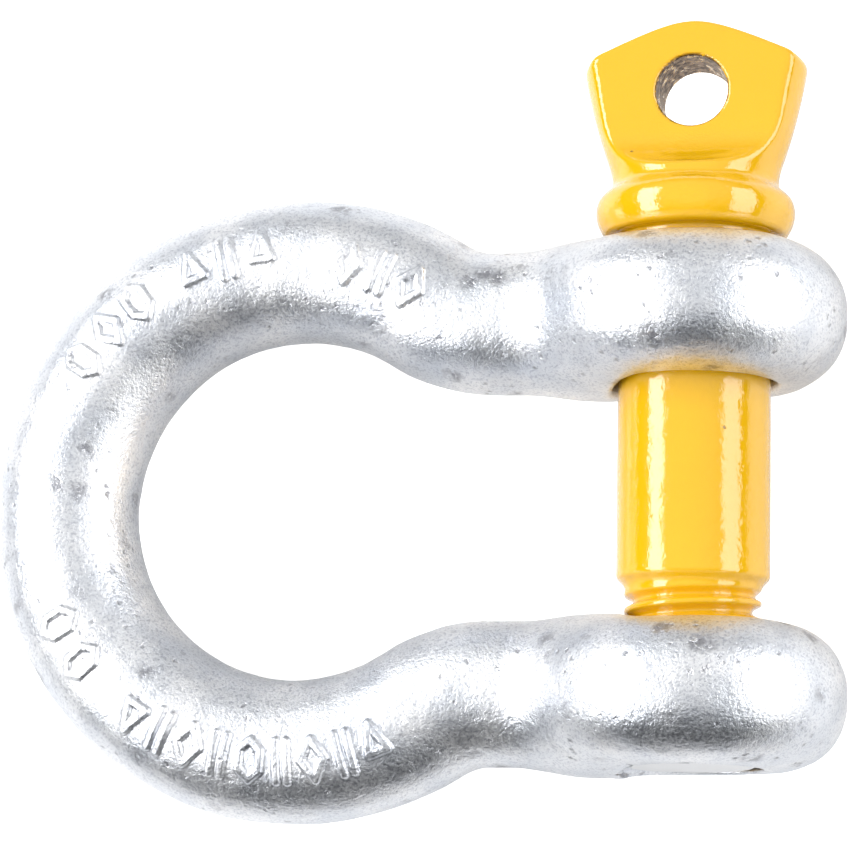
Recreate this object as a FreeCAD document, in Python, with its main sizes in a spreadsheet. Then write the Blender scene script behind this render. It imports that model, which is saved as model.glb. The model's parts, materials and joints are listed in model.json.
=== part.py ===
"""Screw-pin bow shackle, lying flat: a forged bow with two ears and an eye-headed screw pin.

Frame, in millimetres: the origin is on the pin's axis, half way between the ears. +Y runs along
the pin towards its head, the crown of the bow points along -X, and Z is square to the bow's plane.
"""
import FreeCAD, Part
import Sketcher
import math
import os

DRIVING_SIZES = {
    # bow
    "bar_dia": 24.0,
    "crown_radius": 40.3,
    "crown_distance": 65.7,
    "neck_offset": 30.8,
    "neck_bend": 20.2,
    "jaw": 39.0,
    "ear_dia": 50.0,
    "ear_thick": 23.4,
    "ear_round": 10.4,
    "ear_blend": 5.0,
    "neck_run_in": 18.7,
    "plain_hole_dia": 26.8,
    "tapped_hole_dia": 22.8,
    "tapped_depth": 1.2,
    "hole_break": 0.7,
    # pin
    "shank_dia": 25.0,
    "shank_reach": 12.1,
    "shoulder_break": 1.0,
    "screw_dia": 22.2,
    "screw_pitch": 2.822,
    "screw_depth": 1.45,
    "screw_reach": 42.7,
    "screw_runout": 2.9,
    "groove_floor": 0.45,
    "tip_break": 0.9,
    "collar_gap": 1.5,
    "collar_dia": 32.8,
    "collar_thick": 9.8,
    "collar_foot": 2.2,
    "collar_crown": 4.6,
    "nape_dia": 27.4,
    "nape_rise": 3.4,
    "nape_radius": 5.5,
    # eye head of the pin
    "flare_start": 28.6,
    "flare_radius": 80.0,
    "head_width": 36.7,
    "head_shoulder": 72.8,
    "corner_radius": 1.9,
    "corner_width": 0.95,
    "corner_height": 1.45,
    "dome_foot": 78.9,
    "dome_half": 7.4,
    "dome_radius": 17.0,
    "head_thick": 12.0,
    "scoop_radius": 6.0,
    "scoop_lift": 0.4,
    "head_edge": 0.8,
    "eye_dia": 11.8,
    "eye_height": 68.2,
    "eye_break": 0.4,
}

FULL_TURN = 360.0
QUARTER_TURN = math.pi / 2
NEAR = 0.02
WELL_OFF = 1.0
SMALLEST_CUT = 1.0


class Size:
    """A length that knows its number and the expression that gives it from the sheet."""

    def __init__(self, number, text):
        self.number = number
        self.text = text

    def combine(self, other, sign, number):
        return Size(number, f"({self.text} {sign} {as_size(other).text})")

    def __add__(self, other):
        return self.combine(other, "+", self.number + as_size(other).number)

    def __sub__(self, other):
        return self.combine(other, "-", self.number - as_size(other).number)

    def __mul__(self, factor):
        return self.combine(factor, "*", self.number * factor)

    def __truediv__(self, factor):
        return self.combine(factor, "/", self.number / factor)

    def __neg__(self):
        return self * -1


def as_size(value):
    return value if isinstance(value, Size) else Size(value, str(value))


def size(alias):
    return Size(DRIVING_SIZES[alias], f"sizes.{alias}")


def make_sheet(doc):
    sheet = doc.addObject("Spreadsheet::Sheet", "sizes")
    for row, (alias, value) in enumerate(DRIVING_SIZES.items(), start=1):
        sheet.set(f"A{row}", alias)
        sheet.set(f"B{row}", str(value))
        sheet.setAlias(f"B{row}", alias)
    doc.recompute()
    return sheet


def origin_plane(body, role):
    return next(item for item in body.Origin.OriginFeatures if item.Role == role)


def new_sketch(body, name, role="XY_Plane", offset=None):
    """A sketch on one of the body's origin planes, moved off along its normal by offset."""
    sketch = body.newObject("Sketcher::SketchObject", name)
    sketch.AttachmentSupport = [(origin_plane(body, role), "")]
    sketch.MapMode = "FlatFace"
    if offset is not None:
        sketch.setExpression("AttachmentOffset.Base.z", offset.text)
    return sketch


def pin_point(sketch, index, point, x, y):
    """Holds one point of a sketch at x, y, measured from the sketch's origin."""
    for kind, value in (("DistanceX", as_size(x)), ("DistanceY", as_size(y))):
        held = sketch.addConstraint(Sketcher.Constraint(kind, -1, 1, index, point, value.number))
        sketch.setExpression(f"Constraints[{held}]", value.text)


def set_radius(sketch, index, radius):
    held = sketch.addConstraint(Sketcher.Constraint("Radius", index, radius.number))
    sketch.setExpression(f"Constraints[{held}]", radius.text)


def arc_between(start, end, radius, side):
    """The short arc from start to end. side is +1 where it bulges to the left of the chord."""
    chord = end - start
    half = chord.Length / 2
    left = FreeCAD.Vector(-chord.y, chord.x, 0).normalize()
    rise = radius - math.sqrt(max(radius * radius - half * half, 0.0))
    middle = (start + end) / 2 + left * rise * side
    return Part.Arc(start, middle, end)


def outline(sketch, start, steps):
    """Draws a closed outline: each step is (x, y) for a line or (x, y, radius, side) for an arc."""
    base = sketch.GeometryCount
    corners = [start] + [step[:2] for step in steps]
    points = [FreeCAD.Vector(as_size(x).number, as_size(y).number, 0) for x, y in corners]
    for index, step in enumerate(steps):
        first, last = points[index], points[index + 1]
        if len(step) == 2:
            sketch.addGeometry(Part.LineSegment(first, last))
        else:
            sketch.addGeometry(arc_between(first, last, step[2].number, step[3]))
    for index, step in enumerate(steps):
        edge = base + index
        following = base + (index + 1) % len(steps)
        begin, end = ends_of(sketch, edge, points[index])
        next_begin = ends_of(sketch, following, points[index + 1])[0]
        sketch.addConstraint(Sketcher.Constraint("Coincident", edge, end, following, next_begin))
        pin_point(sketch, edge, begin, *corners[index])
        if len(step) == 4:
            set_radius(sketch, edge, step[2])


def ends_of(sketch, index, first):
    """The point numbers (start, end) of one edge. An arc runs anticlockwise, so they may swap."""
    near_start = sketch.getPoint(index, 1).distanceToPoint(first)
    near_end = sketch.getPoint(index, 2).distanceToPoint(first)
    return (1, 2) if near_start < near_end else (2, 1)


def revolve(body, kind, name, sketch):
    """Turns a sketch about its own vertical axis, which is the pin's axis."""
    feature = body.newObject(kind, name)
    feature.Profile = (sketch, [""])
    feature.ReferenceAxis = (sketch, ["V_Axis"])
    feature.Angle = FULL_TURN
    return feature


def screw_cut(body, name, sketch, height, pitch):
    """Winds a groove's section along the pin's axis."""
    feature = body.newObject("PartDesign::SubtractiveHelix", name)
    feature.Profile = (sketch, [""])
    feature.ReferenceAxis = (sketch, ["V_Axis"])
    feature.Mode = 0
    feature.setExpression("Pitch", pitch.text)
    feature.setExpression("Height", height.text)
    return feature


def edge_names(shape, wanted):
    return [f"Edge{number}" for number, edge in enumerate(shape.Edges, start=1) if wanted(edge)]


def dress_edges(body, kind, name, base, wanted, amount):
    """Rounds (Fillet) or bevels (Chamfer) the edges of the last feature that are wanted."""
    dressing = body.newObject(kind, name)
    dressing.Base = (base, edge_names(base.Shape, wanted))
    dressing.setExpression("Radius" if kind.endswith("Fillet") else "Size", amount.text)
    return dressing


def bow_path(body):
    """The bar's centreline: straight necks, two reverse bends and the round crown."""
    sketch = new_sketch(body, "bow_path")
    radius = size("crown_radius")
    bend = size("neck_bend")
    neck = size("neck_offset")
    centre_x = -size("crown_distance")
    span = radius.number + bend.number
    bend_y = neck.number + bend.number
    bend_x = centre_x.number + math.sqrt(span ** 2 - bend_y ** 2)
    lean = math.atan2(bend_y, bend_x - centre_x.number)
    start_x = -(size("ear_dia") / 2 - size("neck_run_in"))

    def arc(x, y, arc_radius, first, last):
        circle = Part.Circle(FreeCAD.Vector(x, y, 0), FreeCAD.Vector(0, 0, 1), arc_radius)
        return Part.ArcOfCircle(circle, first, last)

    def line(x1, y1, x2, y2):
        return Part.LineSegment(FreeCAD.Vector(x1, y1, 0), FreeCAD.Vector(x2, y2, 0))

    sketch.addGeometry([
        line(start_x.number, neck.number, bend_x, neck.number),
        arc(bend_x, bend_y, bend.number, math.pi + lean, 3 * QUARTER_TURN),
        arc(centre_x.number, 0, radius.number, lean, 4 * QUARTER_TURN - lean),
        arc(bend_x, -bend_y, bend.number, QUARTER_TURN, math.pi - lean),
        line(bend_x, -neck.number, start_x.number, -neck.number),
    ])
    join = Sketcher.Constraint
    sketch.addConstraint([
        join("Horizontal", 0),
        join("Horizontal", 4),
        join("Tangent", 0, 2, 1, 2),
        join("Tangent", 1, 1, 2, 1),
        join("Tangent", 2, 2, 3, 2),
        join("Tangent", 3, 1, 4, 1),
        join("Equal", 1, 3),
        join("PointOnObject", 2, 3, -1),
    ])
    set_radius(sketch, 1, bend)
    set_radius(sketch, 2, radius)
    centre = sketch.addConstraint(join("DistanceX", -1, 1, 2, 3, centre_x.number))
    sketch.setExpression(f"Constraints[{centre}]", centre_x.text)
    pin_point(sketch, 0, 1, start_x, neck)
    pin_point(sketch, 4, 2, start_x, -neck)
    return sketch


def bow_bar(body):
    """The round bar, drawn along its centreline from one neck to the other."""
    path = bow_path(body)
    start_x = -(size("ear_dia") / 2 - size("neck_run_in"))
    section = new_sketch(body, "bar_section", "YZ_Plane", start_x)
    neck = size("neck_offset")
    radius = size("bar_dia") / 2
    centre = FreeCAD.Vector(neck.number, 0, 0)
    section.addGeometry(Part.Circle(centre, FreeCAD.Vector(0, 0, 1), radius.number))
    pin_point(section, 0, 3, neck, 0)
    set_radius(section, 0, radius)
    bar = body.newObject("PartDesign::AdditivePipe", "bar")
    bar.Profile = (section, [""])
    bar.Spine = (path, [f"Edge{number}" for number in range(1, 6)])
    return bar


def ear(body, name, side):
    """One ear: a thick disc about the pin's axis with a fully rounded rim."""
    sketch = new_sketch(body, f"{name}_profile")
    inner = (size("jaw") / 2) * side
    outer = (size("jaw") / 2 + size("ear_thick")) * side
    rim = size("ear_dia") / 2
    edge = size("ear_round")
    outline(sketch, (0, inner), [
        (rim - edge, inner),
        (rim, inner + edge * side, edge, -side),
        (rim, outer - edge * side),
        (rim - edge, outer, edge, -side),
        (0, outer),
        (0, inner),
    ])
    return revolve(body, "PartDesign::Revolution", name, sketch)


def ear_hole(body, name, side, diameter):
    """Bores one ear from the jaw to its outer face and breaks both mouths' edges."""
    sketch = new_sketch(body, f"{name}_profile")
    inner = (size("jaw") / 2) * side
    outer = (size("jaw") / 2 + size("ear_thick")) * side
    wall = diameter / 2
    edge = size("hole_break")
    over = edge * 2
    outline(sketch, (0, inner - over * side), [
        (wall + edge + over, inner - over * side),
        (wall, inner + edge * side),
        (wall, outer - edge * side),
        (wall + edge + over, outer + over * side),
        (0, outer + over * side),
        (0, inner - over * side),
    ])
    return revolve(body, "PartDesign::Groove", name, sketch)


def make_bow(doc):
    body = doc.addObject("PartDesign::Body", "bow")
    doc.recompute()
    bow_bar(body)
    ear(body, "plain_ear", 1)
    whole = ear(body, "tapped_ear", -1)
    doc.recompute()
    dress_edges(body, "PartDesign::Fillet", "ear_blends", whole, joins_ear, size("ear_blend"))
    doc.recompute()
    ear_hole(body, "plain_hole", 1, size("plain_hole_dia"))
    ear_hole(body, "tapped_hole", -1, size("tapped_hole_dia"))
    tapped_screw(body)
    return body


def joins_ear(edge):
    """True for the curves where the bar runs into an ear, which lie flat in no plane of the frame."""
    box = edge.BoundBox
    reach = DRIVING_SIZES["ear_dia"] / 2 + WELL_OFF
    beside_hole = -reach < box.XMin and box.XMax < -WELL_OFF
    return beside_hole and min(box.YLength, box.ZLength) > WELL_OFF


def pin_turning(body):
    """The round form of the whole pin: screw blank, shank, collar, nape and the head's outline."""
    sketch = new_sketch(body, "turned_profile")
    screw = size("screw_dia") / 2
    shank = size("shank_dia") / 2
    collar = size("collar_dia") / 2
    nape = size("nape_dia") / 2
    foot = size("collar_foot")
    crown = size("collar_crown")
    tip = -size("screw_reach")
    shoulder = -size("shank_reach")
    base = size("jaw") / 2 + size("ear_thick") + size("collar_gap")
    top = base + size("collar_thick")
    flare = size("flare_start") / 2
    half = size("head_width") / 2
    corner_x = half - size("corner_width")
    corner_y = size("head_shoulder") + size("corner_height")
    dome_rise = size("dome_radius").number - math.sqrt(
        DRIVING_SIZES["dome_radius"] ** 2 - DRIVING_SIZES["dome_half"] ** 2)
    outline(sketch, (0, tip), [
        (screw - size("tip_break"), tip),
        (screw, tip + size("tip_break")),
        (screw, shoulder - size("shoulder_break")),
        (shank, shoulder),
        (shank, base),
        (collar - foot, base),
        (collar, base + foot, foot, -1),
        (collar, top - crown),
        (collar - crown, top, crown, -1),
        (nape, top),
        (flare, top + size("nape_rise"), size("nape_radius"), 1),
        (half, size("head_shoulder"), size("flare_radius"), -1),
        (corner_x, corner_y, size("corner_radius"), -1),
        (size("dome_half"), size("dome_foot")),
        (0, size("dome_foot") + dome_rise, size("dome_radius"), -1),
        (0, tip),
    ])
    return revolve(body, "PartDesign::Revolution", "turned", sketch)


def groove_section(sketch, wall, root, start):
    """The V-shaped section of a thread groove, from just past the wall to its narrow floor."""
    over = (wall - root) / 4
    mouth = size("screw_pitch") / 2
    flat = size("groove_floor") / 2
    outline(sketch, (wall + over, start - mouth), [
        (wall + over, start + mouth),
        (root, start + flat),
        (root, start - flat),
        (wall + over, start - mouth),
    ])


def pin_screw(body):
    """The screw thread, cut as one helical groove from past the tip up to the shoulder."""
    sketch = new_sketch(body, "groove_profile")
    pitch = size("screw_pitch")
    crest = size("screw_dia") / 2
    groove_section(sketch, crest, crest - size("screw_depth"), -size("screw_reach") - pitch)
    height = size("screw_reach") + pitch - size("shank_reach") - size("screw_runout")
    return screw_cut(body, "screw_groove", sketch, height, pitch)


def tapped_screw(body):
    """The thread in the tapped ear, cut outwards from the bore along the whole hole."""
    sketch = new_sketch(body, "tapped_profile")
    pitch = size("screw_pitch")
    wall = size("tapped_hole_dia") / 2
    outer = -size("jaw") / 2 - size("ear_thick")
    groove_section(sketch, wall, wall + size("tapped_depth"), outer - pitch)
    return screw_cut(body, "tapped_groove", sketch, size("ear_thick") + pitch * 2, pitch)


def head_flats(body):
    """Presses the two flat faces of the head, each ending in a round scoop above the collar."""
    sketch = new_sketch(body, "flats_profile", "YZ_Plane")
    face = size("head_thick") / 2
    scoop = size("scoop_radius")
    collar_top = size("jaw") / 2 + size("ear_thick") + size("collar_gap") + size("collar_thick")
    floor = collar_top + size("scoop_lift")
    over = size("dome_foot") + size("corner_radius") * 2
    clear = size("head_width")
    for side in (1, -1):
        outline(sketch, (over, face * side), [
            (floor + scoop, face * side),
            (floor, (face + scoop) * side, scoop, side),
            (floor, clear * side),
            (over, clear * side),
            (over, face * side),
        ])
    flats = body.newObject("PartDesign::Pocket", "flats")
    flats.Profile = (sketch, [""])
    flats.Midplane = True
    flats.Type = "Length"
    flats.setExpression("Length", (clear * 2).text)
    return flats


def bounds_flat(edge):
    """True for the outer edges of the head's two flat faces, above their scoops."""
    if edge.Degenerated:
        return False
    box = edge.BoundBox
    face = DRIVING_SIZES["head_thick"] / 2
    on_face = box.ZLength < NEAR and abs(abs(box.Center.z) - face) < NEAR
    return on_face and box.YLength > NEAR


def rings_eye(edge):
    """True for the eye's two mouths."""
    box = edge.BoundBox
    rise = abs(box.Center.y - DRIVING_SIZES["eye_height"])
    across = abs(box.XLength - DRIVING_SIZES["eye_dia"])
    return rise < NEAR and box.ZLength < NEAR and across < NEAR


def eye(body):
    """The eye through the blade, for a marlinspike or a mousing wire."""
    sketch = new_sketch(body, "eye_outline")
    centre = FreeCAD.Vector(0, DRIVING_SIZES["eye_height"], 0)
    sketch.addGeometry(Part.Circle(centre, FreeCAD.Vector(0, 0, 1), DRIVING_SIZES["eye_dia"] / 2))
    pin_point(sketch, 0, 3, 0, size("eye_height"))
    set_radius(sketch, 0, size("eye_dia") / 2)
    hole = body.newObject("PartDesign::Pocket", "eye")
    hole.Profile = (sketch, [""])
    hole.Midplane = True
    hole.Type = "Length"
    hole.setExpression("Length", (size("head_thick") * 2).text)
    return hole


def make_screw_pin(doc):
    body = doc.addObject("PartDesign::Body", "screw_pin")
    doc.recompute()
    pin_turning(body)
    flats = head_flats(body)
    doc.recompute()
    dress_edges(body, "PartDesign::Chamfer", "head_edges", flats, bounds_flat, size("head_edge"))
    hole = eye(body)
    doc.recompute()
    dress_edges(body, "PartDesign::Chamfer", "eye_edges", hole, rings_eye, size("eye_break"))
    pin_screw(body)
    return body


def check(doc, bodies):
    """Stops if any object failed or any sub-part isn't one sound solid."""
    for item in doc.Objects:
        if "Invalid" in item.State or "Error" in item.State:
            raise RuntimeError(f"{item.Label} failed: {item.State}")
    for body in bodies:
        shape = body.Shape
        if shape.isNull() or not shape.isValid() or len(shape.Solids) != 1:
            raise RuntimeError(f"{body.Label} isn't one sound solid")


def check_cut(feature):
    """Stops if a cut took next to nothing away."""
    before = feature.BaseFeature.Shape.Volume
    if not feature.Shape.Volume < before - SMALLEST_CUT:
        raise RuntimeError(f"{feature.Label} cuts nothing")


def main():
    doc = FreeCAD.newDocument("bow_shackle")
    make_sheet(doc)
    bodies = [make_bow(doc), make_screw_pin(doc)]
    doc.recompute()
    check(doc, bodies)
    for name in ("plain_hole", "tapped_hole", "tapped_groove", "flats", "eye", "screw_groove"):
        check_cut(doc.getObject(name))
    os.makedirs("parts", exist_ok=True)
    for body in bodies:
        shape = body.Shape
        print(f"{body.Label}: {shape.Volume / 1000:.1f} cm3, {len(shape.Faces)} faces")
        shape.exportStep(f"parts/{body.Label}.step")


main()
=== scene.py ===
"""Looks of a screw-pin bow shackle: a galvanised forged bow and a screw pin in thick yellow paint.

Shapes are worked out in millimetres in the CAD frame and stored in metres. The origin is on the
pin's axis half way between the ears, +Y runs along the pin to its head, and the crown is at -X.
Each shape is a field, negative inside the metal, that is meshed where it crosses zero.
"""
import json
import math

import bmesh
import bpy
import numpy as np
from mathutils import Matrix, Vector, noise


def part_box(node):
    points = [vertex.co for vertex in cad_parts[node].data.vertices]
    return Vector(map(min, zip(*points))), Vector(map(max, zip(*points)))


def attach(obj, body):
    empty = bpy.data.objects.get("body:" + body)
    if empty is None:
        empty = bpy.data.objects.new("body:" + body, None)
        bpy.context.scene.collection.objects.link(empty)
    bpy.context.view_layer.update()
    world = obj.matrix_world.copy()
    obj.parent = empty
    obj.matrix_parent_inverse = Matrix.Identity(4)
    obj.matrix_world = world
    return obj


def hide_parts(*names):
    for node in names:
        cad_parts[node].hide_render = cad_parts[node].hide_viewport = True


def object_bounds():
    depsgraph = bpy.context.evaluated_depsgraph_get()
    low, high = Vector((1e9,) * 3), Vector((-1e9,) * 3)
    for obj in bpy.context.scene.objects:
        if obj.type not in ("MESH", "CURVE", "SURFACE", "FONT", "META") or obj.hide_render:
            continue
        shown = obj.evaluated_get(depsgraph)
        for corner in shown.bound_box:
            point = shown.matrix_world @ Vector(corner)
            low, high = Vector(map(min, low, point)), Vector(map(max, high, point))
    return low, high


MM = 0.001
TURN = 2 * math.pi

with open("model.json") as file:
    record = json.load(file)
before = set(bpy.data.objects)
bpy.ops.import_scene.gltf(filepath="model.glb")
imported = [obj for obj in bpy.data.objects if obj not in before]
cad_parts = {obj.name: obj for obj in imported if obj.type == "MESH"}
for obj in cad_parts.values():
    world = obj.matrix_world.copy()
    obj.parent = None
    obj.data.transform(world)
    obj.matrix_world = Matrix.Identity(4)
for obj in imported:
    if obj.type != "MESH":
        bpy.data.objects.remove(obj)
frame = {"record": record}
cad_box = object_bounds()
mounts = {mount["name"]: mount for mount in frame["record"]["mounts"]}
bow_low, bow_high = (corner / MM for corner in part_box("bow"))
pin_low, pin_high = (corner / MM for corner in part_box("screw_pin"))

# bow, in millimetres
BAR_RADIUS = 12.0
CROWN_RADIUS = 40.3
CROWN_X = bow_low.x + CROWN_RADIUS + BAR_RADIUS
NECK_Y = 30.8
BEND_RADIUS = 20.2
BEND_Y = NECK_Y + BEND_RADIUS
BEND_X = CROWN_X + math.sqrt((CROWN_RADIUS + BEND_RADIUS) ** 2 - BEND_Y ** 2)
NECK_END = -8.0
JAW = 39.0
EAR_RADIUS = bow_high.x
EAR_THICK = 23.4
EAR_ROUND = 10.6
EAR_BLEND = 6.0
EAR_TAIL = 0.93
PLAIN_HOLE = 13.4
TAPPED_HOLE = 11.4
MOUTH_BLEND = 1.6
SEAT_RADIUS = 15.6
SEAT_DEPTH = 0.25
SEAT_BLEND = 0.8
SCREW_END_BLEND = 0.4

# screw thread, in millimetres
PITCH = 2.822
SCREW_RADIUS = 11.15
SCREW_DEPTH = 1.5
TAPPED_DEPTH = 1.2
SCREW_START = 0.98
CREST_SHARPNESS = 1.3
CREST_DROP = 0.1
RUN_OUT = 2.2
TIP_BREAK = 0.9
TIP_BLEND = 0.5
BREAK_BLEND = 0.4
LIP_BLEND = 0.3
SHOULDER_BLEND = 0.5

# pin, in millimetres
SHANK_RADIUS = mounts["pin_shank"]["dims"]["r_mm"]
SHOULDER_Y = -12.1
LIP_HEIGHT = 1.4
COLLAR_BASE = 44.4
COLLAR_TOP = 53.0
COLLAR_RADIUS = pin_high.z
COLLAR_WIDEST = 48.4
COLLAR_BULGE = 0.1
COLLAR_TOP_ROUND = 3.2
COLLAR_BASE_ROUND = 0.6
UNDER_COLLAR_BLEND = 0.6
INNER_OVERLAP = 1.0
NAPE_RADIUS = 13.7
NAPE_BLEND = 0.8
NAPE_FLATNESS = 1.05
ADDED_FLATNESS = 0.4
FLATTENING_RISE = 14
FLARE_Y = 56.4
FLARE_RADIUS = 14.3
FLARE_SLOPE = 0.36
FLARE_CURVE = 0.0062
HEAD_FACE = 6.0
SCOOP_FLOOR = 54.3
SCOOP_RADIUS = 9.0
HEAD_TOP = 80.1
SHOULDER_LEAN = math.radians(26)
DOME_SPREAD = 6.0
HEAD_BLEND = 1.6
COLLAR_HEAD_BLEND = 1.6
FACE_BLEND = 1.0
EYE_Y = mounts["pin_eye"]["pos_m"][1] / MM
EYE_RADIUS = mounts["pin_eye"]["dims"]["r_mm"]
EYE_BLEND = 0.7
BARE_REACH = 0.05
BARE_FADE = 0.25
PLATED_REACH = 0.3
PLATED_FADE = 0.5

# raised forge marks
MARK_HEIGHT = 0.6
MARK_HALF_WIDTH = 0.35
MARK_EDGE = 0.6
MARK_TALL = 3.2
MARK_WIDE = 2.0
MARK_KEPT = 0.85
MARK_WEAR = 0.3
MARK_WEAR_SIZE = 3.0
MARK_SEED = 5
BAR_APART = 0.9
FAR_OFF = 100.0

# unevenness, in millimetres: the height, the size and the seed of each layer of lumps
FORGED_LAYERS = ((0.22, 16.0, 1), (0.09, 5.0, 2), (0.035, 1.9, 3))
FORGED_SINK = 0.1
PAINT_LAYERS = ((0.03, 7.0, 11), (0.012, 2.2, 12))
PAINT_SINK = 0.02

# meshes, in millimetres: the side of a cell, in a full run and in a quick one
BOW_CELL = (0.75, 1.2)
PIN_CELL = (0.38, 0.6)
REFINE_MARGIN = 0.6
MARK_CUTS = 3
THREAD_CUTS = 1


# ---------------------------------------------------------------- fields

def coordinates(points):
    return points[..., 0], points[..., 1], points[..., 2]


def join(first, second, blend):
    """The two solids together, their inner corner filled over about blend millimetres."""
    gap = np.maximum(blend - np.abs(first - second), 0) / blend
    return np.minimum(first, second) - gap * gap * blend / 4


def common(first, second, blend):
    """What the two solids share, with its outer edge rounded over about blend millimetres."""
    return -join(-first, -second, blend)


def cut(solid, tool, blend):
    return common(solid, -tool, blend)


def ease(value):
    """A smooth step from 0 to 1 as value goes from 0 to 1."""
    value = np.clip(value, 0, 1)
    return value * value * (3 - 2 * value)


def ring(across, along, round_off):
    """A disc's rounded section: across and along are how far a point is past its rim and its face."""
    past_rim = across + round_off
    past_face = along + round_off
    outside = np.hypot(np.maximum(past_rim, 0), np.maximum(past_face, 0))
    return outside + np.minimum(np.maximum(past_rim, past_face), 0) - round_off


def thread(points):
    """How high a right-handed thread stands at each point, from 0 at its root to 1 at its crest."""
    x, y, z = coordinates(points)
    phase = y / PITCH - np.arctan2(x, z) / TURN + SCREW_START
    ramp = np.abs(2 * (phase - np.floor(phase)) - 1)
    return ease(CREST_SHARPNESS * ramp - CREST_DROP)


def off_centreline(x, y):
    """Distance from the bar's centreline in the bow's plane: crown, reverse bends and necks."""
    y = np.abs(y)
    crown = np.abs(np.hypot(x - CROWN_X, y) - CROWN_RADIUS)
    bend = np.abs(np.hypot(x - BEND_X, y - BEND_Y) - BEND_RADIUS)
    neck = np.hypot(y - NECK_Y, np.maximum(x - NECK_END, 0))
    on_crown = (BEND_X - CROWN_X) * y > BEND_Y * (x - CROWN_X)
    return np.where(on_crown, crown, np.where(x > BEND_X, neck, bend))


def bow_field(points):
    """The bow: round bar, two thick round ears, the collar's seat, the plain and the tapped hole."""
    x, y, z = coordinates(points)
    bar = np.hypot(off_centreline(x, y), z) - BAR_RADIUS
    ear_middle = (JAW + EAR_THICK) / 2
    past_rim = np.hypot(np.where(x < 0, x * EAR_TAIL, x), z) - EAR_RADIUS
    ears = ring(past_rim, np.abs(np.abs(y) - ear_middle) - EAR_THICK / 2, EAR_ROUND)
    solid = join(bar, ears, EAR_BLEND)
    from_axis = np.hypot(x, z)
    seat = np.maximum(JAW / 2 + EAR_THICK - SEAT_DEPTH - y, from_axis - SEAT_RADIUS)
    solid = cut(solid, seat, SEAT_BLEND)
    tapped = TAPPED_HOLE + TAPPED_DEPTH * thread(points)
    hole = from_axis - np.where(y > 0, PLAIN_HOLE, tapped)
    return cut(solid, hole, np.where(y < -ear_middle, SCREW_END_BLEND, MOUTH_BLEND))


def pin_stem(points):
    """The screw and the plain shank."""
    x, y, z = coordinates(points)
    from_axis = np.hypot(x, z)
    lip_end = SHOULDER_Y - LIP_HEIGHT
    started = ease((lip_end - y) / RUN_OUT)
    screw = from_axis - SCREW_RADIUS + SCREW_DEPTH * (1 - thread(points)) * started
    screw = common(screw, pin_low.y - y, TIP_BLEND)
    bevel = (from_axis - y - SCREW_RADIUS + pin_low.y + TIP_BREAK) / math.sqrt(2)
    screw = common(screw, bevel, BREAK_BLEND)
    lip = (from_axis - y - SHANK_RADIUS + SHOULDER_Y) / math.sqrt(2)
    shank = common(from_axis - SHANK_RADIUS, lip_end - y, LIP_BLEND)
    shank = common(shank, lip, LIP_BLEND)
    return np.maximum(join(screw, shank, SHOULDER_BLEND), y - COLLAR_TOP + INNER_OVERLAP)


def pin_collar(points):
    """The collar: a fat ring, round above and drawn in towards its flat underside."""
    x, y, z = coordinates(points)
    rim = COLLAR_RADIUS - COLLAR_BULGE * (y - COLLAR_WIDEST) ** 2
    middle = (COLLAR_BASE + COLLAR_TOP) / 2
    half = (COLLAR_TOP - COLLAR_BASE) / 2
    round_off = np.where(y > middle, COLLAR_TOP_ROUND, COLLAR_BASE_ROUND)
    return ring(np.hypot(x, z) - rim, np.abs(y - middle) - half, round_off)


def pin_head(points):
    """The head: a flared round blank with sloping shoulders, pressed flat on two faces."""
    x, y, z = coordinates(points)
    rise = y - FLARE_Y
    flare = FLARE_RADIUS + FLARE_SLOPE * rise - FLARE_CURVE * rise ** 2
    width = -join(np.full_like(flare, -NAPE_RADIUS), -flare, NAPE_BLEND)
    squash = NAPE_FLATNESS + ADDED_FLATNESS * ease(rise / FLATTENING_RISE)
    head = np.hypot(x, z * squash) - width
    aside = np.hypot(x, DOME_SPREAD) - DOME_SPREAD
    roof = aside * math.sin(SHOULDER_LEAN) + (y - HEAD_TOP) * math.cos(SHOULDER_LEAN)
    head = common(head, roof, HEAD_BLEND)
    head = common(head, COLLAR_BASE + 2 * INNER_OVERLAP - y, FACE_BLEND)
    face = SCOOP_RADIUS - (np.abs(z) - HEAD_FACE)
    floor = SCOOP_RADIUS - (y - SCOOP_FLOOR)
    near = np.maximum(SCOOP_RADIUS, np.minimum(SCOOP_RADIUS - face, SCOOP_RADIUS - floor))
    pressed = near - np.hypot(np.maximum(face, 0), np.maximum(floor, 0))
    return common(head, pressed, FACE_BLEND)


def pin_field(points):
    x, y, z = coordinates(points)
    solid = join(pin_stem(points), pin_collar(points), UNDER_COLLAR_BLEND)
    solid = join(solid, pin_head(points), COLLAR_HEAD_BLEND)
    return cut(solid, np.hypot(x, y - EYE_Y) - EYE_RADIUS, EYE_BLEND)


# ---------------------------------------------------------------- meshing

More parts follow.
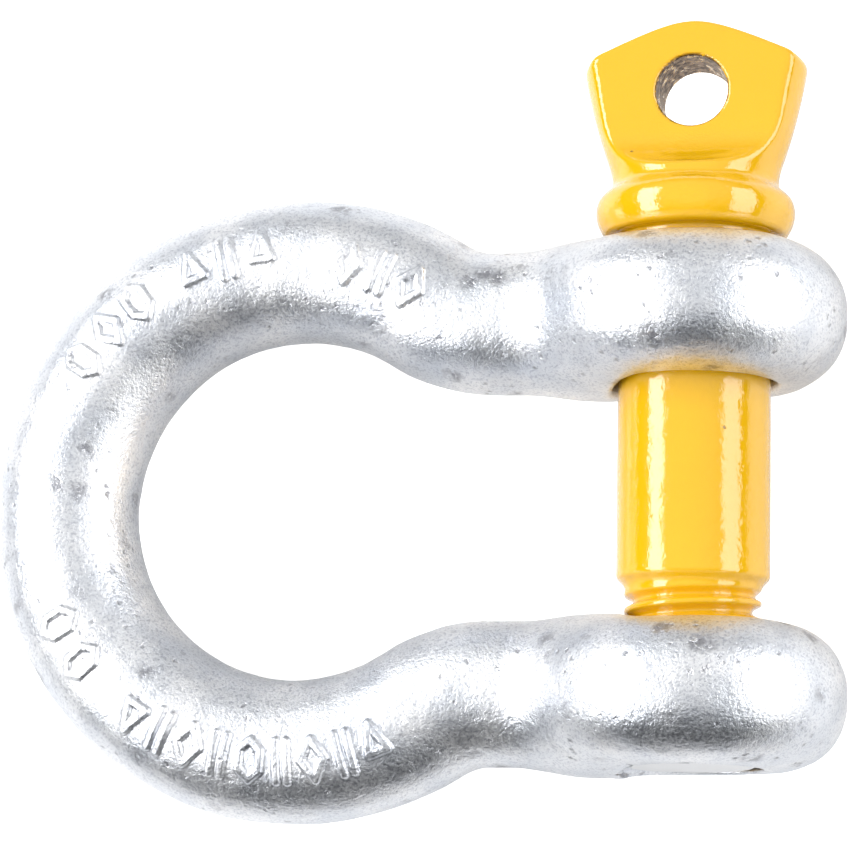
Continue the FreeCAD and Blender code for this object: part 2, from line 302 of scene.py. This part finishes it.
def surface_net(field, low, high, cell):
    """One point in each cell that the surface crosses, and a quad round each edge it crosses."""
    low = np.array(low)
    counts = np.ceil((np.array(high) - low) / cell).astype(int) + 1
    axes = [start + cell * np.arange(count) for start, count in zip(low, counts)]
    inside = np.stack([
        field(np.stack(np.meshgrid([x], *axes[1:], indexing="ij"), -1))[0] < 0 for x in axes[0]])
    filled = np.zeros(counts - 1, int)
    for corner in np.ndindex(2, 2, 2):
        spans = [slice(step, count - 1 + step) for step, count in zip(corner, counts)]
        filled += inside[tuple(spans)]
    crossed = (filled > 0) & (filled < 8)
    number = np.full(crossed.shape, -1)
    number[crossed] = np.arange(crossed.sum())
    points = low + cell * (np.argwhere(crossed) + 0.5)
    quads = []
    for axis in range(3):
        ahead = np.roll(inside, -1, axis)
        _, left, up = np.roll(np.eye(3, dtype=int), -axis, 0)
        spots = np.argwhere(inside != ahead)
        leaves = inside[tuple(spots.T)]
        cells = [spots, spots - left, spots - left - up, spots - up]
        quad = np.stack([number[tuple(c.T)] for c in cells], 1)
        quads.append(np.where(leaves[:, None], quad, quad[:, ::-1]))
    return points, np.concatenate(quads)


def slope(field, points):
    """The field's slope at each point, which is square to the surface."""
    step = 0.03
    sides = [field(points + shift) - field(points - shift) for shift in np.eye(3) * step]
    return np.stack(sides, -1) / (2 * step)


def settle(field, points, steps=4):
    """Moves each point square to the surface until it lies on it."""
    for _ in range(steps):
        rise = slope(field, points)
        steepness = np.maximum((rise ** 2).sum(-1), 0.1)
        points = points - rise * (field(points) / steepness)[:, None]
    return points


def even_out(field, points, quads, rounds=2):
    """Moves each point to the middle of its neighbours and back onto the surface."""
    ends = np.concatenate([quads[:, [k, (k + 1) % 4]] for k in range(4)])
    for _ in range(rounds):
        share = np.bincount(ends[:, 0], minlength=len(points))
        sums = [np.bincount(ends[:, 0], points[ends[:, 1], k], len(points)) for k in range(3)]
        points = settle(field, np.stack(sums, 1) / share[:, None])
    return points


def mesh_points(mesh):
    flat = np.zeros(len(mesh.vertices) * 3)
    mesh.vertices.foreach_get("co", flat)
    return flat.reshape(-1, 3) / MM


def set_mesh_points(mesh, points):
    mesh.vertices.foreach_set("co", (points * MM).ravel())
    mesh.update()


def mesh_field(name, field, low, high, cell):
    """An object whose surface is where the field is zero."""
    margin = 3 * cell
    points, quads = surface_net(field, np.array(low) - margin, np.array(high) + margin, cell)
    points = even_out(field, settle(field, points), quads)
    mesh = bpy.data.meshes.new(name)
    mesh.from_pydata((points * MM).tolist(), [], quads.tolist())
    piece = bpy.data.objects.new(name, mesh)
    bpy.context.scene.collection.objects.link(piece)
    return piece


def refine(piece, field, wanted, cuts):
    """Divides the faces around the wanted points more finely, on the same surface."""
    mesh = piece.data
    chosen = wanted(mesh_points(mesh))
    cage = bmesh.new()
    cage.from_mesh(mesh)
    cage.verts.ensure_lookup_table()
    edges = [edge for edge in cage.edges if all(chosen[vert.index] for vert in edge.verts)]
    bmesh.ops.subdivide_edges(cage, edges=edges, cuts=cuts, use_grid_fill=True)
    cage.to_mesh(mesh)
    cage.free()
    set_mesh_points(mesh, settle(field, mesh_points(mesh)))


def lumps(points, size, seed):
    """Smooth noise from about -1 to 1, its lumps about size millimetres across."""
    shift = Vector((seed, 2.7 * seed, 1.3 * seed))
    return np.array([noise.noise(Vector(point) / size + shift) for point in points])


def swell(piece, field, height):
    """Raises each point square to the surface by height, a function of the points."""
    points = mesh_points(piece.data)
    rise = slope(field, points)
    rise /= np.linalg.norm(rise, axis=1)[:, None]
    set_mesh_points(piece.data, points + rise * height(points)[:, None])


# ---------------------------------------------------------------- raised marks

def polygon(sides, turned=0.0):
    """A closed run of strokes through the corners of a tall polygon."""
    corners = [(MARK_WIDE * math.sin(TURN * (k + turned) / sides),
                MARK_TALL * math.cos(TURN * (k + turned) / sides))
               for k in range(sides)]
    return list(zip(corners, corners[1:] + corners[:1]))


def upright(across):
    return [((across, -MARK_TALL), (across, MARK_TALL))]


MARKS = {
    "diamond": polygon(4),
    "hexagon": polygon(6),
    "wedge": polygon(3),
    "tipped_wedge": polygon(3, turned=1.5),
    "pair": upright(-BAR_APART) + upright(BAR_APART),
}

# first and last place round the crown in degrees, distance outside the centreline, marks
MARK_ROWS = (
    (146.0, 128.0, 2.2, ("hexagon", "diamond", "hexagon")),
    (113.5, 97.0, 1.8, ("wedge", "pair", "wedge")),
    (76.0, 60.0, 0.2, ("diamond", "pair", "diamond")),
    (-152.0, -142.0, 2.6, ("hexagon", "hexagon")),
    (-125.0, -68.0, 2.4, ("wedge", "pair", "diamond", "pair", "hexagon", "pair", "diamond", "pair",
                          "tipped_wedge")),
)


def mark_strokes():
    """Every stroke of the marks, as two ends in the bow's plane."""
    strokes = []
    for first, last, outside, names in MARK_ROWS:
        for place, name in zip(np.linspace(first, last, len(names)), names):
            outward = np.array([math.cos(math.radians(place)), math.sin(math.radians(place))])
            sideways = np.array([outward[1], -outward[0]])
            middle = np.array([CROWN_X, 0]) + outward * (CROWN_RADIUS + outside)
            strokes += [[middle + sideways * u + outward * v for u, v in ends]
                        for ends in MARKS[name]]
    return strokes


def off_marks(points):
    """Distance from the nearest stroke, seen square to the bow. Points underneath are far off."""
    flat = points[:, :2]
    nearest = np.full(len(points), FAR_OFF)
    for start, end in mark_strokes():
        run = end - start
        along = np.clip((flat - start) @ run / (run @ run), 0, 1)
        away = np.linalg.norm(flat - start - along[:, None] * run, axis=1)
        nearest = np.minimum(nearest, away)
    return np.where(points[:, 2] > 0, nearest, FAR_OFF)


def near_marks(points):
    return off_marks(points) < MARK_HALF_WIDTH + MARK_EDGE + REFINE_MARGIN


def in_tapped_hole(points):
    x, y, z = coordinates(points)
    return (y < 0) & (np.hypot(x, z) < TAPPED_HOLE + TAPPED_DEPTH + REFINE_MARGIN)


def layered(points, layers):
    return sum(height * lumps(points, size, seed) for height, size, seed in layers)


def bow_relief(points):
    """Forged unevenness, zinc lumps and the raised marks."""
    marks = ease((MARK_HALF_WIDTH + MARK_EDGE - off_marks(points)) / MARK_EDGE) * MARK_HEIGHT
    worn = MARK_KEPT + MARK_WEAR * lumps(points, MARK_WEAR_SIZE, MARK_SEED)
    outside = ~in_tapped_hole(points)
    return marks * worn + (layered(points, FORGED_LAYERS) - FORGED_SINK) * outside


def paint_relief(points):
    """Thick paint: slow waves, and a fine unevenness that ripples its reflections."""
    return layered(points, PAINT_LAYERS) - PAINT_SINK


# ---------------------------------------------------------------- materials

def new_material(name):
    material = bpy.data.materials.new(name)
    material.use_nodes = True
    return material, material.node_tree, material.node_tree.nodes["Principled BSDF"]


def add_node(tree, kind, inputs=None, **settings):
    node = tree.nodes.new(kind)
    for key, value in settings.items():
        setattr(node, key, value)
    for key, value in (inputs or {}).items():
        if isinstance(value, bpy.types.NodeSocket):
            tree.links.new(value, node.inputs[key])
        else:
            node.inputs[key].default_value = value
    return node


def position(tree):
    return add_node(tree, "ShaderNodeTexCoord").outputs["Object"]


def grain(tree, size, detail=2.0, roughness=0.5):
    """Noise from 0 to 1 with lumps about size millimetres across."""
    node = add_node(tree, "ShaderNodeTexNoise", {
        "Vector": position(tree), "Scale": 1 / (size * MM), "Detail": detail,
        "Roughness": roughness})
    return node.outputs["Fac"]


def spots(tree, spacing, reach):
    """1 in scattered spots: spacing between them and the reach of each, in millimetres."""
    wobble = add_node(tree, "ShaderNodeTexNoise", {
        "Vector": position(tree), "Scale": 1 / (reach * MM), "Detail": 3.0})
    moved = add_node(tree, "ShaderNodeVectorMath", {
        0: wobble.outputs["Color"], "Scale": 1.6 * reach * MM}, operation="SCALE")
    place = add_node(tree, "ShaderNodeVectorMath", {
        0: position(tree), 1: moved.outputs[0]}, operation="ADD")
    cells = add_node(tree, "ShaderNodeTexVoronoi", {
        "Vector": place.outputs[0], "Scale": 1 / (spacing * MM)})
    return remap(tree, cells.outputs["Distance"], reach / spacing, 0.4 * reach / spacing)


def remap(tree, value, low, high, first=0.0, last=1.0):
    node = add_node(tree, "ShaderNodeMapRange", {
        "Value": value, "From Min": low, "From Max": high, "To Min": first, "To Max": last})
    return node.outputs["Result"]


def maths(tree, operation, first, second=0.0):
    return add_node(tree, "ShaderNodeMath", {0: first, 1: second}, operation=operation).outputs[0]


def mix_colour(tree, share, first, second):
    node = add_node(tree, "ShaderNodeMix", {"Factor": share}, data_type="RGBA")
    for key, value in (("A_Color", first), ("B_Color", second)):
        socket = next(s for s in node.inputs if s.identifier == key)
        if isinstance(value, bpy.types.NodeSocket):
            tree.links.new(value, socket)
        else:
            socket.default_value = (*value, 1.0)
    return next(s for s in node.outputs if s.identifier == "Result_Color")


def bumped(tree, height, depth, normal=None):
    """A normal roughened by height, a pattern from 0 to 1, depth millimetres deep."""
    inputs = {"Height": height, "Distance": depth * MM, "Strength": 1.0}
    if normal is not None:
        inputs["Normal"] = normal
    return add_node(tree, "ShaderNodeBump", inputs).outputs["Normal"]


def attribute(tree, name):
    return add_node(tree, "ShaderNodeAttribute", attribute_name=name).outputs["Fac"]


# colours, in linear red, green and blue
ZINC_DULL = (0.70, 0.73, 0.78)
ZINC_BRIGHT = (0.87, 0.88, 0.90)
ZINC_SHADOW = (0.32, 0.34, 0.42)
ZINC_PIT = (0.22, 0.22, 0.25)
PAINT_DEEP = (0.76, 0.42, 0.002)
PAINT_LIGHT = (0.80, 0.44, 0.004)
PAINT_CHIP = (0.20, 0.10, 0.02)
STEEL_DARK = (0.05, 0.035, 0.03)
STEEL_LIGHT = (0.30, 0.23, 0.18)
SCREW_TIP = (0.80, 0.81, 0.83)
FLOOR_TONE = (0.85, 0.85, 0.85, 1)
WHITE = (1, 1, 1, 1)


def zinc_material():
    """Hot-dip zinc: a pale rough metal with frosty grain, cloudy patches and grey pits."""
    material, tree, surface = new_material("galvanised_zinc")
    cloud = grain(tree, 9.0, 3.0)
    frost = grain(tree, 0.45, 3.0, 0.7)
    flakes = grain(tree, 1.1, 3.0, 0.65)
    torn = remap(tree, flakes, 0.36, 0.48)
    pitted_areas = remap(tree, grain(tree, 14.0), 0.46, 0.56)
    pits = maths(tree, "MULTIPLY", spots(tree, spacing=6.5, reach=2.1), pitted_areas)
    specked_areas = remap(tree, grain(tree, 8.0), 0.46, 0.58)
    specks = maths(tree, "MULTIPLY", spots(tree, spacing=2.4, reach=0.6), specked_areas)
    marks = maths(tree, "MULTIPLY", maths(tree, "MAXIMUM", pits, specks), torn)
    tone = mix_colour(tree, remap(tree, cloud, 0.35, 0.65), ZINC_DULL, ZINC_BRIGHT)
    tone = mix_colour(tree, remap(tree, frost, 0.50, 0.36, 0.0, 0.5), tone, ZINC_SHADOW)
    tone = mix_colour(tree, maths(tree, "MULTIPLY", marks, 0.7), tone, ZINC_PIT)
    tree.links.new(tone, surface.inputs["Base Color"])
    tree.links.new(remap(tree, cloud, 0.3, 0.7, 0.31, 0.40), surface.inputs["Roughness"])
    tree.links.new(remap(tree, frost, 0.48, 0.60, 1.0, 0.82), surface.inputs["Metallic"])
    normal = bumped(tree, grain(tree, 2.6, 2.0), depth=0.10)
    normal = bumped(tree, flakes, 0.13, normal)
    normal = bumped(tree, frost, 0.10, normal)
    normal = bumped(tree, maths(tree, "MULTIPLY", marks, -1.0), 0.12, normal)
    tree.links.new(normal, surface.inputs["Normal"])
    return material


def paint_material():
    """Glossy yellow paint; the mesh says where it is scraped off and where there is only zinc."""
    material, tree, surface = new_material("yellow_paint")
    scraped = remap(tree, grain(tree, 1.6, 5.0, 0.7), 0.40, 0.46)
    bare = maths(tree, "MULTIPLY", attribute(tree, "bare"), scraped)
    chipped_areas = remap(tree, grain(tree, 9.0), 0.56, 0.6)
    chips = maths(tree, "MULTIPLY", spots(tree, spacing=6.0, reach=0.35), chipped_areas)
    steel = mix_colour(tree, remap(tree, grain(tree, 0.9, 4.0), 0.4, 0.6), STEEL_DARK, STEEL_LIGHT)
    paint = mix_colour(tree, grain(tree, 6.0), PAINT_DEEP, PAINT_LIGHT)
    tone = mix_colour(tree, maths(tree, "MULTIPLY", chips, 0.85), paint, PAINT_CHIP)
    tone = mix_colour(tree, bare, tone, steel)
    plated = attribute(tree, "plated")
    tone = mix_colour(tree, plated, tone, SCREW_TIP)
    metal = maths(tree, "MAXIMUM", bare, plated)
    tree.links.new(tone, surface.inputs["Base Color"])
    tree.links.new(remap(tree, metal, 0.0, 1.0, 0.10, 0.45), surface.inputs["Roughness"])
    tree.links.new(remap(tree, metal, 0.0, 1.0, 0.0, 0.8), surface.inputs["Metallic"])
    tree.links.new(remap(tree, metal, 0.0, 1.0, 1.0, 0.0), surface.inputs["Coat Weight"])
    surface.inputs["Specular IOR Level"].default_value = 0.2
    surface.inputs["Coat Roughness"].default_value = 0.055
    surface.inputs["Coat IOR"].default_value = 1.62
    normal = bumped(tree, grain(tree, 3.2, 4.0, 0.65), depth=0.16)
    missing = maths(tree, "MAXIMUM", bare, chips)
    normal = bumped(tree, maths(tree, "MULTIPLY", missing, -1.0), 0.08, normal)
    tree.links.new(normal, surface.inputs["Normal"])
    tree.links.new(normal, surface.inputs["Coat Normal"])
    return material


# ---------------------------------------------------------------- pieces

def finish_piece(piece, material, body, node):
    piece.data.materials.append(material)
    for face in piece.data.polygons:
        face.use_smooth = True
    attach(piece, body)
    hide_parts(node)
    return piece


def make_bow():
    bow = mesh_field("forged_bow", bow_field, bow_low, bow_high, BOW_CELL[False])
    refine(bow, bow_field, near_marks, MARK_CUTS)
    refine(bow, bow_field, in_tapped_hole, THREAD_CUTS)
    swell(bow, bow_field, bow_relief)
    return finish_piece(bow, zinc_material(), "bow", "bow")


def make_pin():
    pin = mesh_field("painted_pin", pin_field, pin_low, pin_high, PIN_CELL[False])
    swell(pin, pin_field, paint_relief)
    x, y, z = coordinates(mesh_points(pin.data))
    eye_wall = 1 - ease((np.hypot(x, y - EYE_Y) - EYE_RADIUS - BARE_REACH) / BARE_FADE)
    tip = 1 - ease((y - pin_low.y - PLATED_REACH) / PLATED_FADE)
    for name, share in (("bare", eye_wall), ("plated", tip)):
        marked = pin.data.attributes.new(name, "FLOAT", "POINT")
        marked.data.foreach_set("value", share.astype(np.float32))
    return finish_piece(pin, paint_material(), "pin", "screw_pin")


# ---------------------------------------------------------------- studio

# camera, in millimetres and radians
AIM = (-44.9, 14.0, 0.0)
CAMERA_AWAY = 590.6
CAMERA_TURNS = ((0.21, "Y"), (0.1696, "X"), (0.0198, "Z"))
LENS = 150.8
SENSOR = 36.0
NEAR_LIMIT = 0.01

# table and lights, in metres
TABLE_X = (-0.45, 0.35)
TABLE_Y = (-0.145, 0.5)
FLOOR_GLOW = 0.75
SOFTBOX_AWAY = 0.7
SOFTBOX_LENGTH = 1.0
SOFTBOX_ALONG = 0.06
OVERHEAD = (0, 0.39, 0.92)


def make_camera():
    """A long lens high above the shackle, a little towards the tapped ear and the pin's side."""
    turn = Matrix.Identity(4)
    for angle, axis in CAMERA_TURNS:
        turn = turn @ Matrix.Rotation(angle, 4, axis)
    place = Matrix.Translation(Vector(AIM) * MM) @ turn
    camera = bpy.data.objects.new("camera", bpy.data.cameras.new("camera"))
    camera.data.sensor_width = SENSOR
    camera.data.lens = LENS
    camera.data.clip_start = NEAR_LIMIT
    camera.matrix_world = place @ Matrix.Translation((0, 0, CAMERA_AWAY * MM))
    bpy.context.scene.collection.objects.link(camera)
    bpy.context.scene.camera = camera


def make_floor():
    """A pale table top that the shackle's ears rest on, its front edge not far from the ears."""
    left, right = TABLE_X
    front, back = TABLE_Y
    mesh = bpy.data.meshes.new("floor")
    corners = [(left, front, 0), (right, front, 0), (right, back, 0), (left, back, 0)]
    mesh.from_pydata(corners, [], [(0, 1, 2, 3)])
    floor = bpy.data.objects.new("floor", mesh)
    floor.location.z = cad_box[0].z
    bpy.context.scene.collection.objects.link(floor)
    material, tree, surface = new_material("pale_floor")
    surface.inputs["Base Color"].default_value = FLOOR_TONE
    surface.inputs["Roughness"].default_value = 0.9
    surface.inputs["Emission Color"].default_value = WHITE
    seen = add_node(tree, "ShaderNodeLightPath").outputs["Is Camera Ray"]
    tree.links.new(maths(tree, "MULTIPLY", seen, FLOOR_GLOW), surface.inputs["Emission Strength"])
    mesh.materials.append(material)


def softbox(name, lean, width, power):
    """A long soft light beside the shackle, leaning lean degrees from straight above about Y."""
    light = bpy.data.lights.new(name, "AREA")
    light.shape = "RECTANGLE"
    light.size = width
    light.size_y = SOFTBOX_LENGTH
    light.energy = power
    lamp = bpy.data.objects.new(name, light)
    turn = Matrix.Rotation(math.radians(lean), 4, "Y")
    lamp.matrix_world = turn @ Matrix.Translation((0, SOFTBOX_ALONG, SOFTBOX_AWAY))
    bpy.context.scene.collection.objects.link(lamp)


def make_world():
    """Pale above, darker round the horizon, so that the metal has something to reflect."""
    world = bpy.data.worlds.new("studio")
    world.use_nodes = True
    bpy.context.scene.world = world
    tree = world.node_tree
    direction = add_node(tree, "ShaderNodeTexCoord").outputs["Generated"]
    height = add_node(tree, "ShaderNodeVectorMath", {0: direction, 1: OVERHEAD},
                      operation="DOT_PRODUCT").outputs["Value"]
    room = remap(tree, height, 0.26, 0.80, 0.05, 0.80)
    seen = add_node(tree, "ShaderNodeLightPath").outputs["Is Camera Ray"]
    strength = add_node(tree, "ShaderNodeMix", {"Factor": seen, "A": room, "B": 1.0})
    background = tree.nodes["Background"]
    background.inputs["Color"].default_value = WHITE
    tree.links.new(strength.outputs["Result"], background.inputs["Strength"])


def make_studio():
    make_camera()
    make_floor()
    softbox("left_softbox", lean=-50, width=0.28, power=6.8)
    softbox("right_softbox", lean=66, width=0.38, power=4.8)
    make_world()
    bpy.context.scene.view_settings.view_transform = "Standard"


make_bow()
make_pin()
make_studio()
